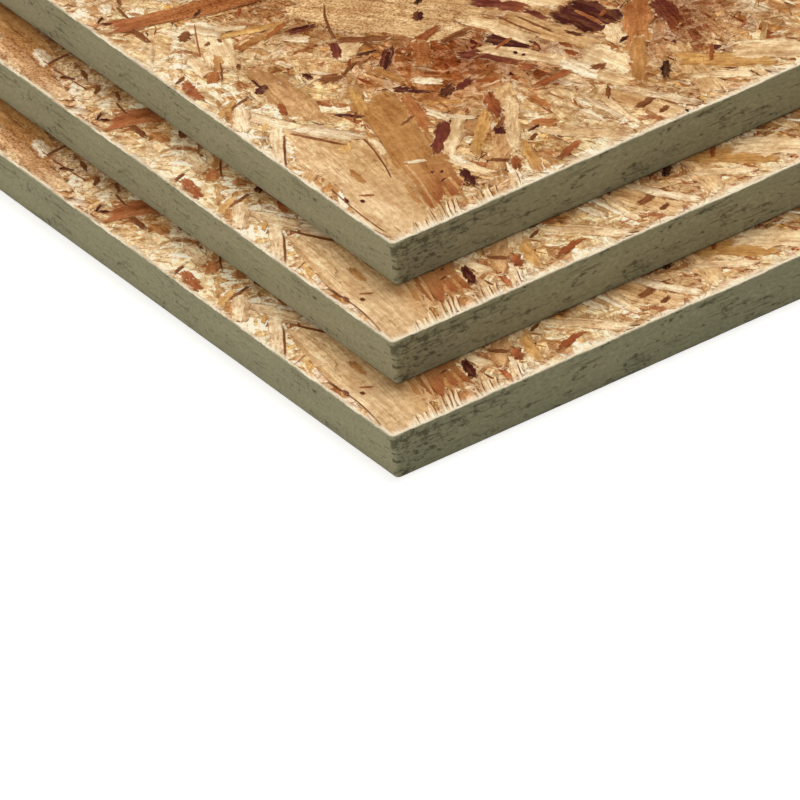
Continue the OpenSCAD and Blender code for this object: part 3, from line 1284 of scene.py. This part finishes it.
def far_ledges(face):
    """Areas of a face along its far end and its far side."""
    inner = face.length - LEDGE_REACH
    return [(0, inner, face.width, face.length), (face.width - LEDGE_REACH, 0, face.width, inner)]


def lanes(face, count):
    """Areas of a face in lanes along it, from the near side."""
    wide = face.width / count
    return [(k * wide, 0, (k + 1) * wide, face.length) for k in range(count)]


def corner_batches(rng, area, keep):
    """What shows close to the near corner: litter, chips, rim fibres, and the listed strands and marks."""
    t0, s0, t1, s1 = area
    area = (t0, s0, min(t1, CORNER_REACH), min(s1, CORNER_REACH))
    return [
        listed(rng, CORNER_GROUND, keep, **GROUND_LOOK),
        random_strands(rng, area, LITTER_COVER, **LITTER),
        listed(rng, CORNER_STRANDS, keep, **STRAND_LOOK),
        listed(rng, RIM_FIBRES, keep, **FIBRE_LOOK),
        listed(rng, CORNER_MARKS, keep, **MARK_LOOK),
        random_strands(rng, area, CHIP_COVER, **CHIPS),
    ]


def ride(piece):
    """Every piece of the stack is in its one body."""
    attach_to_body(piece, BODY)


def strand_piece(name, face, batches, wood):
    """One piece of a face's strands."""
    ride(strand_mesh(name, face, batches, wood))


def top_strands(wood):
    """The free face of the top sheet, in lanes."""
    face = Face("top_panel", True)
    for k, area in enumerate(lanes(face, LANES)):
        rng = np.random.default_rng(SEED + k)
        batches = field(rng, area, *TOP_COVER)
        if area[0] < CORNER_REACH:
            batches += corner_batches(rng, area, lambda row: area[0] <= row[0] < area[2])
        strand_piece(f"top_panel_strands_{k + 1}", face, batches, wood)


def ledge_strands(node, wood):
    """The two strips of a lower sheet's face that the sheet above leaves free."""
    face = Face(node, True)
    rng = np.random.default_rng(SEED)
    batches = []
    for area in near_ledges(face):
        batches += field(rng, area, *LEDGE_COVER)
    end_area, side_area = near_ledges(face)
    batches += corner_batches(rng, end_area, lambda row: min(row[:2]) - row[2] / 2 < LEDGE_REACH)
    batches += corner_batches(rng, side_area, lambda row: False)
    strand_piece(node + "_ledge", face, batches, wood)


def underside_strands(wood):
    """The face that the stack lies on, and the strips of the upper sheets that stick out at the back."""
    face = Face("bottom_panel", False)
    for k, area in enumerate(lanes(face, UNDER_LANES)):
        rng = np.random.default_rng(SEED + LANES + k)
        batches = field(rng, area, *UNDER_COVER)
        strand_piece(f"bottom_panel_underside_{k + 1}", face, batches, wood)
    for node in PANELS[1:]:
        face = Face(node, False)
        rng = np.random.default_rng(SEED + LANES + UNDER_LANES)
        batches = []
        for area in far_ledges(face):
            batches += field(rng, area, *OVERHANG_COVER)
        strand_piece(node + "_overhang", face, batches, wood)


def build_stack():
    """The three boards and the strands on all the faces that show."""
    low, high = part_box(PANELS[0])
    size = (high - low) / MM
    wood = strand_material(size.x, size.y)
    seal = seal_material(girth(size.x, size.y), size.z)
    for node in PANELS:
        piece = board(node + "_board", node, wood, seal)
        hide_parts(node)
        ride(piece)
    top_strands(wood)
    for node in PANELS[:2]:
        ledge_strands(node, wood)
    underside_strands(wood)


# Stage

# The floor: its size in metres, its colour and the white that it shows the camera
FLOOR_SIZE = 400.0
FLOOR_COLOUR = (0.57, 0.545, 0.49, 1)
FLOOR_GLOW = (0.72, 0.72, 0.72, 1)
# Shares of the light from the surround, from overhead and on the long side
DOME_SHARE = 0.25
OVERHEAD_SHARE = 0.74
SIDE_SHARE = 0.45


def white_to_camera(n):
    """A value of 1 for rays that show the surround: straight to the camera, in gloss or through glass."""
    rays = n.add("LightPath").outputs
    in_things = n.most(rays["Is Glossy Ray"], rays["Is Transmission Ray"])
    return n.most(rays["Is Camera Ray"], in_things)


def build_floor():
    """A pale floor that keeps the soft shadow under the stack and shows white to the camera."""
    n = Nodes(bpy.data.materials.new("floor"))
    half = FLOOR_SIZE / 2
    corners = [(-half, -half, 0), (half, -half, 0), (half, half, 0), (-half, half, 0)]
    mesh = bpy.data.meshes.new("floor")
    mesh.from_pydata(corners, [], [(0, 1, 2, 3)])
    pale = n.end("Principled BSDF", Base_Color=FLOOR_COLOUR, Roughness=0.9, Specular_IOR_Level=0.1,
                 Emission_Color=FLOOR_GLOW, Emission_Strength=white_to_camera(n))
    mesh.materials.append(pale)
    floor = placed("floor", mesh)


def direction(azimuth, elevation):
    """The way to an azimuth, counted in degrees from -Y towards +X, and an elevation."""
    a, e = math.radians(azimuth), math.radians(elevation)
    return Vector((math.sin(a) * math.cos(e), -math.cos(a) * math.cos(e), math.sin(e)))


def soft_sun(name, share, spread, azimuth, elevation):
    """A wide soft lamp far away, with its share of the light on a surface that faces it."""
    lamp = bpy.data.lights.new(name, "SUN")
    lamp.energy = share * math.pi
    lamp.angle = math.radians(spread)
    sun = placed(name, lamp)
    sun.rotation_euler = (-direction(azimuth, elevation)).to_track_quat("-Z", "Y").to_euler()


def build_light():
    """A white surround, a soft lamp overhead from behind the corner and a weak one on the long side."""
    n = Nodes(bpy.data.worlds.new("studio"))
    strength = n.span(white_to_camera(n), 0.0, 1.0, DOME_SHARE, 1.0)
    bpy.context.scene.world = n.end("Background", Color=(1, 1, 1, 1), Strength=strength)
    soft_sun("overhead", OVERHEAD_SHARE, spread=40, azimuth=217, elevation=62)
    soft_sun("side", SIDE_SHARE, spread=60, azimuth=7, elevation=12)


def build_camera():
    """The photograph's view, from its direction, roll, distance and focal length."""
    low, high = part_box("bottom_panel")
    foot = Vector((high.x, low.y, low.z))
    back = direction(CAMERA_AZIMUTH, CAMERA_ELEVATION)
    roll = Matrix.Rotation(math.radians(CAMERA_ROLL), 3, "Z")
    turn = (-back).to_track_quat("-Z", "Y").to_matrix() @ roll
    right, up = turn.col[0], turn.col[1]
    data = bpy.data.cameras.new("camera")
    data.sensor_width = SENSOR_MM
    data.lens = FOCAL_PX * SENSOR_MM / PHOTO_PX
    data.clip_end = CAMERA_REACH_M
    camera = placed("camera", data)
    place = foot + (back * CAMERA_DISTANCE + right * AIM_RIGHT + up * AIM_UP) * MM
    camera.matrix_world = Matrix.Translation(place) @ turn.to_4x4()
    bpy.context.scene.camera = camera


build_camera()
build_floor()
build_light()
build_stack()
bpy.context.scene.view_settings.view_transform = "Standard"
